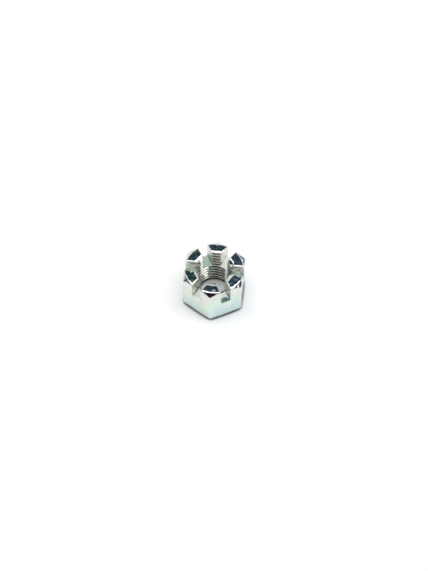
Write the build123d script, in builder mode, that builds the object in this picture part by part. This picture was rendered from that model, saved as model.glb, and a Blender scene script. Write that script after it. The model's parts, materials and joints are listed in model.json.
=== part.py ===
from build123d import *

import os
from math import cos, radians, tan

# Six-slot castle nut, M12 x 1.5 on 19 mm flats, whose hexagon runs up to the tips of its prongs.
# It is one piece of zinc-plated steel. It rests on its bearing face at Z = 0, the thread's axis is
# +Z, and two opposite slots lie along X. Sizes are in millimetres and angles in degrees.

# Hexagonal body
side_count = 6
across_flats = 19.0
height = 14.5
corner_radius = 0.4

# Cones that turn the corners off, each by its height up or down the corner and its slope
top_cone_drop = 1.12
top_cone_angle = 33.0
top_rim_radius = 1.2
bottom_cone_rise = 0.97
bottom_cone_angle = 20.0

# Tapped hole, bored to the thread's minor diameter and countersunk a little wider than its major
thread_diameter = 12.0
thread_pitch = 1.5
thread_angle = 60.0
countersink_margin = 0.5
countersink_angle = 120.0
mouth_radius = 1.0

# Slots for the split pin, one across each flat
slot_width = 3.1
slot_depth = 6.4
slot_floor_radius = 0.3
prong_edge_radius = 0.35

half_side_angle = 180 / side_count
flat_apothem = across_flats / 2
corner_reach = flat_apothem / cos(radians(half_side_angle))
top_rim_reach = corner_reach - top_cone_drop / tan(radians(top_cone_angle))
bearing_reach = corner_reach - bottom_cone_rise / tan(radians(bottom_cone_angle))

# An ISO metric internal thread leaves 5/8 of the height of its sharp triangle standing.
sharp_thread_height = thread_pitch / 2 / tan(radians(thread_angle / 2))
bore_radius = thread_diameter / 2 - 5 / 8 * sharp_thread_height
countersink_reach = thread_diameter / 2 + countersink_margin
countersink_depth = (countersink_reach - bore_radius) / tan(radians(countersink_angle / 2))

with BuildPart() as nut:
    with BuildSketch():
        RegularPolygon(flat_apothem, side_count, major_radius=False, rotation=half_side_angle)
    extrude(amount=height)
    fillet(nut.edges().filter_by(Axis.Z), corner_radius)

    # The blank is turned to this half section, which only the hexagon's corners stand out of.
    with BuildSketch(Plane.XZ) as half_section:
        with BuildLine():
            Polyline(
                (bore_radius, countersink_depth),
                (countersink_reach, 0),
                (bearing_reach, 0),
                (corner_reach, bottom_cone_rise),
                (corner_reach, height - top_cone_drop),
                (top_rim_reach, height),
                (countersink_reach, height),
                (bore_radius, height - countersink_depth),
                close=True,
            )
        make_face()
        mouth, rim = half_section.vertices().group_by(Axis.Y)[-1].sort_by(Axis.X)
        fillet(mouth, mouth_radius)
        fillet(rim, top_rim_radius)
    revolve(axis=Axis.Z, mode=Mode.INTERSECT)

    # A cutter passes right through the axis, so each pass makes two opposite slots.
    with BuildPart(mode=Mode.PRIVATE) as cutter:
        with BuildSketch(Plane.YZ) as cutter_section:
            with Locations((0, height)):
                Rectangle(slot_width, 2 * slot_depth)
            fillet(cutter_section.vertices().group_by(Axis.Y)[0], slot_floor_radius)
        extrude(amount=corner_reach, both=True)
    with PolarLocations(0, side_count // 2, angular_range=180):
        add(cutter.part, mode=Mode.SUBTRACT)

    # Tumbling rounds every edge of the prongs' upper ends but the mouth and the rim.
    cut_edges = nut.edges(Select.LAST)
    upper_edges = cut_edges.filter_by_position(Axis.Z, height - slot_depth / 2, height)
    fillet(upper_edges.filter_by(Axis.Z, reverse=True), prong_edge_radius)

nut.part.label = "castle_nut"
os.makedirs("parts", exist_ok=True)
export_step(nut.part, "parts/castle_nut.step")
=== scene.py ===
import json
import math

import bmesh
import bpy
from mathutils import Matrix, Vector


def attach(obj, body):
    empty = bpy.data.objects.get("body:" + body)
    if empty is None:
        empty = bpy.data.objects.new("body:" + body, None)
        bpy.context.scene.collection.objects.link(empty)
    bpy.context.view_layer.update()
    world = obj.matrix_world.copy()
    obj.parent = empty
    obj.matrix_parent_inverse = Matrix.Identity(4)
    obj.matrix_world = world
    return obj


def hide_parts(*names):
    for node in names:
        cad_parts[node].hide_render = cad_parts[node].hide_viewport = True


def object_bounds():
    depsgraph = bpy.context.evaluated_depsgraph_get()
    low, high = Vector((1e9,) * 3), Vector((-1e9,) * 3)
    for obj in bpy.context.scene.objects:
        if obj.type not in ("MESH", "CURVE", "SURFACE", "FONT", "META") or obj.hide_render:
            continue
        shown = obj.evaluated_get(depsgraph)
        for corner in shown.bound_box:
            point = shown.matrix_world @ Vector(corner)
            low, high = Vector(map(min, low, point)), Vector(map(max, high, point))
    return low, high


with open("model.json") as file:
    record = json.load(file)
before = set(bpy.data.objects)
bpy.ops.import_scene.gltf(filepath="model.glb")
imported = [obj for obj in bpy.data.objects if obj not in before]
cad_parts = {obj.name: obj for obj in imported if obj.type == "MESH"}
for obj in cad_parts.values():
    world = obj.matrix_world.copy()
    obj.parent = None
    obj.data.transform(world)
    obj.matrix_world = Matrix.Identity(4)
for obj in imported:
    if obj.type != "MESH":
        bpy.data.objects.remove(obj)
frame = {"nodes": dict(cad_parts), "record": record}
cad_low, cad_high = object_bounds()
MM = 0.001


# ---------------------------------------------------------------------------------------------
# The nut: one piece of steel with a hexagon's outline up to its tips. It is turned and bored on
# a lathe, sawn with six slots, tapped M12 x 1.5 right-handed, then tumbled and zinc plated.
# The body is a copy of the CAD solid, whose plain bore gets its real thread here.

# Thread. The tap's overrun also sets where the thread's turns begin, which puts a full crest
# under the upper countersink at the back.
thread_mount = next(m for m in frame["record"]["mounts"] if m["name"] == "thread")
minor_radius = thread_mount["dims"]["r_mm"] * MM
major_radius = 6.0 * MM
thread_pitch = 1.5 * MM
thread_flank_angle = 30
root_flat_of_pitch = 1 / 8
tap_inner_radius = minor_radius - 0.2 * MM
tap_overrun = 2.075 * MM
tap_steps_per_turn = 96

# Slots, each one by the angle in degrees that it is turned about the axis
slot_half_width = 1.55 * MM
slot_floor = cad_high.z - 6.4 * MM
slot_turns = (0, 60, 120)
face_margin = 0.01 * MM

# Edges
sharp_edge_angle = 19
edge_wear = 0.45 * MM

# Marks on the slots, by their place along, across and up the slot. The first is painted shade on a
# slot's floor. A slot's turn is added to the place along it, so that no two slots are marked alike.
painted_shade_floor_place = Vector((120 - 9.2, 0, 8.1)) * MM
dull_floor_place = Vector((120 + 7.5, 0, 8.1)) * MM
clean_wall_place = Vector((60 + 8.0, 1.55, 11.5)) * MM


def add_node(tree, kind, settings=None, values=None):
    """Adds a node to a tree, with its own settings and its inputs' values."""
    node = tree.nodes.new(kind)
    for name, value in (settings or {}).items():
        setattr(node, name, value)
    for socket, value in (values or {}).items():
        node.inputs[socket].default_value = value
    return node


def feed(tree, socket, value):
    """Gives an input what it needs: a link from another socket, or a plain value."""
    if isinstance(value, bpy.types.NodeSocket):
        tree.links.new(value, socket)
    else:
        socket.default_value = value


def maths(tree, operation, *values):
    """Works out one number from up to three sockets or plain numbers."""
    node = add_node(tree, "ShaderNodeMath", {"operation": operation})
    for socket, value in zip(node.inputs, values):
        feed(tree, socket, value)
    return node.outputs[0]


def tapping_tree(thread_finish):
    """Geometry nodes that cut a right-hand thread along +Z through a mesh."""
    tree = bpy.data.node_groups.new("tap_a_thread", "GeometryNodeTree")
    tree.interface.new_socket("Geometry", in_out="INPUT", socket_type="NodeSocketGeometry")
    for name in ("Pitch", "Tap Inner Radius", "Major Radius", "Start", "Length"):
        tree.interface.new_socket(name, in_out="INPUT", socket_type="NodeSocketFloat")
    tree.interface.new_socket("Steps Per Turn", in_out="INPUT", socket_type="NodeSocketInt")
    tree.interface.new_socket("Geometry", in_out="OUTPUT", socket_type="NodeSocketGeometry")
    given = tree.nodes.new("NodeGroupInput").outputs
    result = tree.nodes.new("NodeGroupOutput")

    tooth_depth = maths(tree, "SUBTRACT", given["Major Radius"], given["Tap Inner Radius"])
    radii = maths(tree, "ADD", given["Major Radius"], given["Tap Inner Radius"])
    mean_radius = maths(tree, "MULTIPLY", radii, 0.5)
    root_flat = maths(tree, "MULTIPLY", given["Pitch"], root_flat_of_pitch)
    both_flanks = 2 * math.tan(math.radians(thread_flank_angle))
    mouth_width = maths(tree, "MULTIPLY_ADD", tooth_depth, both_flanks, root_flat)

    helix = add_node(tree, "GeometryNodeCurveSpiral", values={"Reverse": True})
    feed(tree, helix.inputs["Resolution"], given["Steps Per Turn"])
    feed(tree, helix.inputs["Rotations"], maths(tree, "DIVIDE", given["Length"], given["Pitch"]))
    feed(tree, helix.inputs["Start Radius"], mean_radius)
    feed(tree, helix.inputs["End Radius"], mean_radius)
    feed(tree, helix.inputs["Height"], given["Length"])
    upright = add_node(tree, "GeometryNodeSetCurveNormal", {"mode": "Z_UP"})
    feed(tree, upright.inputs["Curve"], helix.outputs["Curve"])

    # The tap's tooth is a trapezoid, turned so that its narrow root points away from the axis.
    tooth = add_node(tree, "GeometryNodeCurvePrimitiveQuadrilateral", {"mode": "TRAPEZOID"})
    feed(tree, tooth.inputs["Offset"], 0)
    feed(tree, tooth.inputs["Bottom Width"], mouth_width)
    feed(tree, tooth.inputs["Top Width"], root_flat)
    feed(tree, tooth.inputs["Height"], tooth_depth)
    outward = add_node(tree, "GeometryNodeTransform", values={"Rotation": (0, 0, math.radians(-90))})
    feed(tree, outward.inputs["Geometry"], tooth.outputs["Curve"])

    sweep = add_node(tree, "GeometryNodeCurveToMesh", values={"Fill Caps": True})
    feed(tree, sweep.inputs["Curve"], upright.outputs["Curve"])
    feed(tree, sweep.inputs["Profile Curve"], outward.outputs["Geometry"])
    start_point = add_node(tree, "ShaderNodeCombineXYZ")
    feed(tree, start_point.inputs["Z"], given["Start"])
    tap = add_node(tree, "GeometryNodeTransform")
    feed(tree, tap.inputs["Geometry"], sweep.outputs["Mesh"])
    feed(tree, tap.inputs["Translation"], start_point.outputs["Vector"])
    finished_tap = add_node(tree, "GeometryNodeSetMaterial", values={"Material": thread_finish})
    feed(tree, finished_tap.inputs["Geometry"], tap.outputs["Geometry"])

    cut = add_node(tree, "GeometryNodeMeshBoolean", {"operation": "DIFFERENCE", "solver": "EXACT"})
    feed(tree, cut.inputs["Mesh 1"], given["Geometry"])
    feed(tree, cut.inputs["Mesh 2"], finished_tap.outputs["Geometry"])
    realize = add_node(tree, "GeometryNodeRealizeInstances")
    feed(tree, realize.inputs["Geometry"], cut.outputs["Mesh"])
    feed(tree, result.inputs["Geometry"], realize.outputs["Geometry"])
    return tree


def set_input(modifier, name, value):
    """Sets a geometry nodes input by its name in the tree."""
    modifier[modifier.node_group.interface.items_tree[name].identifier] = value


def ramp(tree, factor, stops):
    """Turns a number into a colour, from (place, colour) stops."""
    node = tree.nodes.new("ShaderNodeValToRGB")
    feed(tree, node.inputs["Fac"], factor)
    elements = node.color_ramp.elements
    while len(elements) < len(stops):
        elements.new(1)
    for element, (place, colour) in zip(elements, stops):
        element.position = place
        element.color = (*colour, 1)
    return node.outputs["Color"]


def noise(tree, coordinates, size, detail=2.0, stretch=(1, 1, 1)):
    """Noise from 0 to 1 whose lumps are about the given size across."""
    scaled = add_node(tree, "ShaderNodeMapping", values={"Scale": [s / size for s in stretch]})
    feed(tree, scaled.inputs["Vector"], coordinates)
    node = add_node(tree, "ShaderNodeTexNoise", values={"Scale": 1, "Detail": detail})
    feed(tree, node.inputs["Vector"], scaled.outputs["Vector"])
    return node.outputs["Fac"]


def mottle(tree, coordinates, size, detail, one_colour, other_colour):
    """Two colours in soft patches about the given size across."""
    return ramp(tree, noise(tree, coordinates, size, detail), [(0.4, one_colour), (0.6, other_colour)])


def axes(tree, place):
    """The parts of a place along X, Y and Z, by those names."""
    split = tree.nodes.new("ShaderNodeSeparateXYZ")
    feed(tree, split.inputs[0], place)
    return split.outputs


def span(tree, value, low, high, to_low, to_high):
    """Maps a number from one range to another, and holds it at the ends."""
    node = tree.nodes.new("ShaderNodeMapRange")
    for socket, given in zip(node.inputs, (value, low, high, to_low, to_high)):
        feed(tree, socket, given)
    return node.outputs[0]


def zinc_finish(name, coordinates_of, tint_of, roughness, marks, mark_height):
    """Bright zinc on steel, with a faint play of tints, uneven gloss and its own tool marks.

    coordinates_of, tint_of and marks are functions of the tree. They give the coordinates, the
    colour and the height of the tool marks, from 0 to 1, which stand mark_height off the metal.
    """
    finish = bpy.data.materials.new(name)
    finish.use_nodes = True
    tree = finish.node_tree
    shader = tree.nodes["Principled BSDF"]
    shader.inputs["Metallic"].default_value = 1
    place = coordinates_of(tree)

    grime = span(tree, noise(tree, place, 0.9 * MM, 5), 0.35, 0.65, 0.92, 1)
    tinted = add_node(tree, "ShaderNodeVectorMath", {"operation": "SCALE"})
    feed(tree, tinted.inputs[0], tint_of(tree, place))
    feed(tree, tinted.inputs["Scale"], grime)
    feed(tree, shader.inputs["Base Color"], tinted.outputs[0])
    uneven_gloss = span(tree, noise(tree, place, 1.6 * MM, 4), 0.3, 0.7, *roughness)
    feed(tree, shader.inputs["Roughness"], uneven_gloss)

    bump = add_node(tree, "ShaderNodeBump", values={"Strength": 1, "Distance": mark_height})
    feed(tree, bump.inputs["Height"], marks(tree, place))
    worn_edge = add_node(tree, "ShaderNodeBevel", {"samples": 8}, {"Radius": edge_wear})
    feed(tree, bump.inputs["Normal"], worn_edge.outputs["Normal"])
    feed(tree, shader.inputs["Normal"], bump.outputs["Normal"])
    return finish


def object_coordinates(tree):
    """The nut's own coordinates, in metres."""
    return add_node(tree, "ShaderNodeTexCoord").outputs["Object"]


def slot_coordinates(tree):
    """Along the slot, across it and up, from the attribute that the slots' faces carry."""
    return add_node(tree, "ShaderNodeAttribute", {"attribute_name": "along_slot"}).outputs["Vector"]


def tumbling_dents(tree, place):
    """Shallow dents from the tumbler, wide and small, over the fine lines of the drawn bar."""
    wide = noise(tree, place, 1.5 * MM, 0)
    small = noise(tree, place, 0.5 * MM, 1)
    drawn = noise(tree, place, 0.16 * MM, 2, (1, 1, 0.03))
    dents = maths(tree, "MULTIPLY_ADD", small, 0.3, wide)
    return maths(tree, "MULTIPLY_ADD", drawn, 0.05, dents)


def saw_marks(tree, place):
    """Fine scratches that run along the slot, uneven in depth."""
    scratches = noise(tree, place, 0.12 * MM, 3, (0.06, 1, 1))
    ripple = noise(tree, place, 0.8 * MM, 1, (1, 0.3, 0.3))
    return maths(tree, "MULTIPLY_ADD", ripple, 0.8, scratches)


def tap_marks(tree, place):
    """Scratches along the thread's turns, which keep their height while the angle changes."""
    along = axes(tree, place)
    angle = maths(tree, "ARCTAN2", along["Y"], along["X"])
    climb = maths(tree, "MULTIPLY", angle, -thread_pitch / (2 * math.pi))
    radial = add_node(tree, "ShaderNodeVectorMath", {"operation": "MULTIPLY"}, {1: (1, 1, 0)})
    feed(tree, radial.inputs[0], place)
    reach = add_node(tree, "ShaderNodeVectorMath", {"operation": "LENGTH"})
    feed(tree, reach.inputs[0], radial.outputs[0])
    unrolled = tree.nodes.new("ShaderNodeCombineXYZ")
    feed(tree, unrolled.inputs["X"], maths(tree, "MULTIPLY", angle, major_radius))
    feed(tree, unrolled.inputs["Y"], reach.outputs["Value"])
    feed(tree, unrolled.inputs["Z"], maths(tree, "ADD", along["Z"], climb))
    return noise(tree, unrolled.outputs[0], 0.15 * MM, 2, (0.05, 1, 1))


def tumbled_tint(tree, place):
    """Cream above, mint in the middle and ice blue at the foot, drifting as the plating does."""
    depth = span(tree, axes(tree, place)["Z"], cad_high.z, cad_low.z, 0.2, 0.8)
    drift = span(tree, noise(tree, place, 9 * MM, 2), 0.3, 0.7, -0.3, 0.3)
    return ramp(tree, maths(tree, "ADD", depth, drift), [
        (0.15, (0.78, 0.79, 0.77)),
        (0.35, (0.76, 0.78, 0.71)),
        (0.52, (0.74, 0.85, 0.75)),
        (0.80, (0.69, 0.83, 0.83)),
    ])


def blot(tree, place, centre, full_reach, last_reach):
    """1 near a point, falling to 0 over a ragged edge between the two distances from it."""
    gap = add_node(tree, "ShaderNodeVectorMath", {"operation": "DISTANCE"}, {1: centre})
    feed(tree, gap.inputs[0], place)
    ragged = maths(tree, "MULTIPLY_ADD", noise(tree, place, 0.8 * MM, 3), 1.2 * MM, gap.outputs["Value"])
    return span(tree, ragged, full_reach, last_reach, 1, 0)


def floor_tint(tree, place):
    """Pale cream to white, with painted shade in dark teal at one end of a slot's floor and a duller
    grey-green at its other end.
    """
    tint = mottle(tree, place, 3 * MM, 2, (0.95, 0.92, 0.85), (0.88, 0.93, 0.91))
    for centre, full_reach, last_reach, dark, light in (
        # painted shade: dark teal on the slot's floor at its outer end
        (painted_shade_floor_place, 1.9 * MM, 2.3 * MM, (0.10, 0.24, 0.21), (0.26, 0.42, 0.38)),
        (dull_floor_place, 3.0 * MM, 5.0 * MM, (0.50, 0.64, 0.56), (0.62, 0.74, 0.66)),
    ):
        marked = add_node(tree, "ShaderNodeMix", {"data_type": "RGBA"})
        feed(tree, marked.inputs["Factor"], blot(tree, place, centre, full_reach, last_reach))
        feed(tree, marked.inputs["A"], tint)
        feed(tree, marked.inputs["B"], mottle(tree, place, 0.6 * MM, 4, dark, light))
        tint = marked.outputs["Result"]
    return tint


def wall_tint(tree, place):
    """Cream near the tips, clouding to a dull teal near the slot's floor."""
    rise = span(tree, axes(tree, place)["Z"], slot_floor, cad_high.z, 0.35, 0.7)
    cloud = span(tree, noise(tree, place, 1.8 * MM, 3), 0.35, 0.65, -0.25, 0.25)
    shade = maths(tree, "ADD", rise, cloud)
    clean = blot(tree, place, clean_wall_place, 3 * MM, 5 * MM)
    shade = maths(tree, "MULTIPLY_ADD", clean, 0.3, shade)
    return ramp(tree, shade, [
        (0.25, (0.18, 0.30, 0.26)),
        (0.45, (0.46, 0.56, 0.47)),
        (0.70, (0.84, 0.82, 0.72)),
    ])


def thread_tint(tree, place):
    """Grey to straw, as the plating thins inside the bore."""
    return mottle(tree, place, 3 * MM, 2, (0.50, 0.53, 0.52), (0.72, 0.68, 0.58))


tumbled = zinc_finish(
    "tumbled_zinc", object_coordinates, tumbled_tint, (0.06, 0.16), tumbling_dents, 0.12 * MM
)
sawn_floor = zinc_finish(
    "slot_floor_zinc", slot_coordinates, floor_tint, (0.55, 0.70), saw_marks, 0.01 * MM
)
sawn_wall = zinc_finish(
    "slot_wall_zinc", slot_coordinates, wall_tint, (0.22, 0.40), saw_marks, 0.01 * MM
)
tapped = zinc_finish(
    "tapped_zinc", object_coordinates, thread_tint, (0.08, 0.18), tap_marks, 0.004 * MM
)

body = bpy.data.meshes.new("castle_nut_body")
solid = bmesh.new()
solid.from_mesh(frame["nodes"]["castle_nut"].data)
bmesh.ops.remove_doubles(solid, verts=solid.verts, dist=1e-7)
solid.to_mesh(body)
solid.free()
body.materials.clear()
for finish in (tumbled, sawn_floor, sawn_wall):
    body.materials.append(finish)


def nearest_slot(point):
    """The turn of the slot nearest to a point, and the matrix that lays that slot along X."""
    slots = [(turn, Matrix.Rotation(math.radians(-turn), 3, "Z")) for turn in slot_turns]
    return min(slots, key=lambda slot: abs((slot[1] @ point).y))


for face in body.polygons:
    _, into_slot = nearest_slot(face.center)
    spot = into_slot @ face.center
    in_slot = abs(spot.y) < slot_half_width + face_margin and spot.z > slot_floor - face_margin
    if in_slot:
        faces_up = face.normal.z > 0.5
        face.material_index = 1 if faces_up else 2

nut = bpy.data.objects.new("castle_nut_tapped", body)
bpy.context.scene.collection.objects.link(nut)
tapping = nut.modifiers.new("tapping", "NODES")
tapping.node_group = tapping_tree(tapped)
set_input(tapping, "Pitch", thread_pitch)
set_input(tapping, "Tap Inner Radius", tap_inner_radius)
set_input(tapping, "Major Radius", major_radius)
set_input(tapping, "Start", cad_low.z - tap_overrun)
set_input(tapping, "Length", cad_high.z - cad_low.z + 2 * tap_overrun)
set_input(tapping, "Steps Per Turn", tap_steps_per_turn)
depsgraph = bpy.context.evaluated_depsgraph_get()
threaded = bpy.data.meshes.new_from_object(nut.evaluated_get(depsgraph), depsgraph=depsgraph)
nut.modifiers.remove(tapping)
nut.data = threaded
threaded.name = "castle_nut_tapped"

# Every corner carries its place along, across and above the nearest slot, for the saw marks to
# follow, and edges that turn sharply keep their crease.
finishing = bmesh.new()
finishing.from_mesh(threaded)
along_slot = finishing.loops.layers.float_vector.new("along_slot")
for face in finishing.faces:
    turn, into_slot = nearest_slot(face.calc_center_median())
    for corner in face.loops:
        corner[along_slot] = into_slot @ corner.vert.co + Vector((turn * MM, 0, 0))
    face.smooth = True
for edge in finishing.edges:
    edge.smooth = edge.calc_face_angle(math.pi) < math.radians(sharp_edge_angle)
finishing.to_mesh(threaded)
finishing.free()

weighting = nut.modifiers.new("flat_faces_stay_flat", "WEIGHTED_NORMAL")
weighting.keep_sharp = True
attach(nut, "root")
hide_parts("castle_nut")


# ---------------------------------------------------------------------------------------------
# The table: a plain sheet of white paper, laid flat. Its colour carries painted shade: close round the
# nut's foot, under its turned-off lower corners, the sheet is painted nearly black.

table_reach = 0.28
foot_shade_reach = 1.3 * MM


def stage_piece(name, points, faces, *finishes):
    """Makes a mesh that is part of the studio, not of the nut."""
    mesh = bpy.data.meshes.new(name)
    mesh.from_pydata(points, [], faces)
    for finish in finishes:
        mesh.materials.append(finish)
    piece = bpy.data.objects.new(name, mesh)
    bpy.context.scene.collection.objects.link(piece)
    return piece


def matt_finish(name, colour_of):
    """A matt finish with no gloss at all, whose colour is a function of the tree."""
    finish = bpy.data.materials.new(name)
    finish.use_nodes = True
    tree = finish.node_tree
    tree.nodes.clear()
    diffuse = tree.nodes.new("ShaderNodeBsdfDiffuse")
    feed(tree, diffuse.inputs["Color"], colour_of(tree))
    output = tree.nodes.new("ShaderNodeOutputMaterial")
    feed(tree, output.inputs["Surface"], diffuse.outputs[0])
    return finish


def sheet_colour_with_painted_shade(tree):
    """White, with painted shade: nearly black where the nut stands close above."""
    openness = add_node(
        tree, "ShaderNodeAmbientOcclusion", {"samples": 8}, {"Distance": foot_shade_reach}
    )
    # painted shade: the ambient occlusion value turns the sheet's colour nearly black close to the nut
    stops = [(0.45, (0.03, 0.035, 0.04)), (0.85, (0.94, 0.94, 0.94))]
    return ramp(tree, openness.outputs["AO"], stops)


corners = [(sx * table_reach, sy * table_reach, 0) for sx, sy in ((-1, -1), (1, -1), (1, 1), (-1, 1))]
stage_piece("table", corners, [(0, 1, 2, 3)], matt_finish("white_sheet_with_painted_shade", sheet_colour_with_painted_shade))


# ---------------------------------------------------------------------------------------------
# The canopy: a dome of dark cloth over the table, which the nut's level faces mirror. It is
# black velvet at the front and uneven dark teal to navy behind, and only mirrors see it.

canopy_radius = 0.9
canopy_spread = 62
canopy_narrowing = 0.53
canopy_rings = 16
canopy_spokes = 64


def cloth_colour(tree):
    """Uneven dark cloth that turns from green-teal on the left to navy on the right."""
    place = object_coordinates(tree)
    rightward = span(tree, axes(tree, place)["X"], -0.070, -0.020, -0.12, 0.12)
    return ramp(tree, maths(tree, "ADD", noise(tree, place, 0.03, 3), rightward), [
        (0.34, (0.003, 0.035, 0.030)),
        (0.46, (0.010, 0.110, 0.085)),
        (0.54, (0.010, 0.075, 0.100)),
        (0.60, (0.060, 0.100, 0.200)),
        (0.68, (0.025, 0.040, 0.150)),
    ])


def velvet_colour(tree):
    """Black with a slightly worn pile."""
    return mottle(tree, object_coordinates(tree), 0.1, 2, (0.002, 0.003, 0.003), (0.012, 0.012, 0.010))


def canopy_point(ring, spoke):
    """A point of the dome, so many rings down from its top and spokes round from +X."""
    down = math.radians(canopy_spread * ring / canopy_rings)
    around = 2 * math.pi * spoke / canopy_spokes
    flat = Vector((math.cos(around), math.sin(around), 0)) * math.sin(down)
    return canopy_radius * (flat + Vector((0, 0, math.cos(down))))


spokes = range(canopy_spokes)
points = [canopy_point(ring, spoke) for ring in range(canopy_rings + 1) for spoke in spokes]
quads = []
for ring_start in range(0, canopy_rings * canopy_spokes, canopy_spokes):
    for spoke in spokes:
        here = ring_start + spoke
        beside = ring_start + (spoke + 1) % canopy_spokes
        quads.append((here, here + canopy_spokes, beside + canopy_spokes, beside))
cloth = matt_finish("dark_teal_cloth", cloth_colour)
velvet = matt_finish("black_velvet", velvet_colour)
canopy = stage_piece("canopy", points, quads, cloth, velvet)
canopy.data.transform(Matrix.Diagonal((1, canopy_narrowing, 1, 1)))
for face in canopy.data.polygons:
    face.material_index = int(face.center.y < 0)
canopy.visible_camera = False


# ---------------------------------------------------------------------------------------------
# The screen: a low board covered in the canopy's cloth. It stands beyond the table, behind on the
# right, where the cones that turn off the nut's upper corners mirror it.

screen_spot = Vector((0.30, 0.42, 0))
screen_half_width = Vector((0.20, -0.13, 0))
screen_height = Vector((0, 0, 0.11))
screen = stage_piece(
    "screen",
    [
        screen_spot - screen_half_width,
        screen_spot + screen_half_width,
        screen_spot + screen_half_width + screen_height,
        screen_spot - screen_half_width + screen_height,
    ],
    [(0, 1, 2, 3)],
    cloth,
)
screen.visible_camera = False


# ---------------------------------------------------------------------------------------------
# The light: one wide softbox, hung overhead under the canopy, and an even white room all round.
# The softbox reaches further to the right, where the left side of the thread mirrors it, and it
# is shallow, so that the countersink and the thread's other flanks mirror the dark canopy.

softbox_width = 0.94
softbox_depth = 0.36
softbox_place = (0.05, 0.02, 0.5)
softbox_watts = 3.05

softbox_lamp = bpy.data.lights.new("softbox", "AREA")
softbox_lamp.shape = "RECTANGLE"
softbox_lamp.size = softbox_width
softbox_lamp.size_y = softbox_depth
softbox_lamp.energy = softbox_watts
softbox = bpy.data.objects.new("softbox", softbox_lamp)
softbox.location = softbox_place
bpy.context.scene.collection.objects.link(softbox)

room = bpy.data.worlds.new("white_room")
bpy.context.scene.world = room
room.use_nodes = True
walls = room.node_tree.nodes["Background"]
walls.inputs["Color"].default_value = (1, 1, 1, 1)
walls.inputs["Strength"].default_value = 1


# ---------------------------------------------------------------------------------------------
# The camera: it stands about a quarter of a metre off and looks down at the nut, from a little
# to the right of one of its corners. The lens is a little longer than a normal one.

aim_point = Vector((-0.05, 0, 4.04)) * MM
camera_azimuth = math.radians(7.14)
camera_elevation = math.radians(57.94)
camera_distance = 270.8 * MM
sensor_width = 36
lens_length = 51.88
nearest_seen = 0.01

level_back = Vector((math.sin(camera_azimuth), -math.cos(camera_azimuth), 0))
back = level_back * math.cos(camera_elevation) + Vector((0, 0, math.sin(camera_elevation)))
camera_data = bpy.data.cameras.new("camera")
camera_data.sensor_width = sensor_width
camera_data.lens = lens_length
camera_data.clip_start = nearest_seen
camera = bpy.data.objects.new("camera", camera_data)
camera.location = aim_point + back * camera_distance
camera.rotation_euler = back.to_track_quat("Z", "Y").to_euler()
bpy.context.scene.collection.objects.link(camera)
bpy.context.scene.camera = camera
bpy.context.scene.view_settings.view_transform = "Standard"
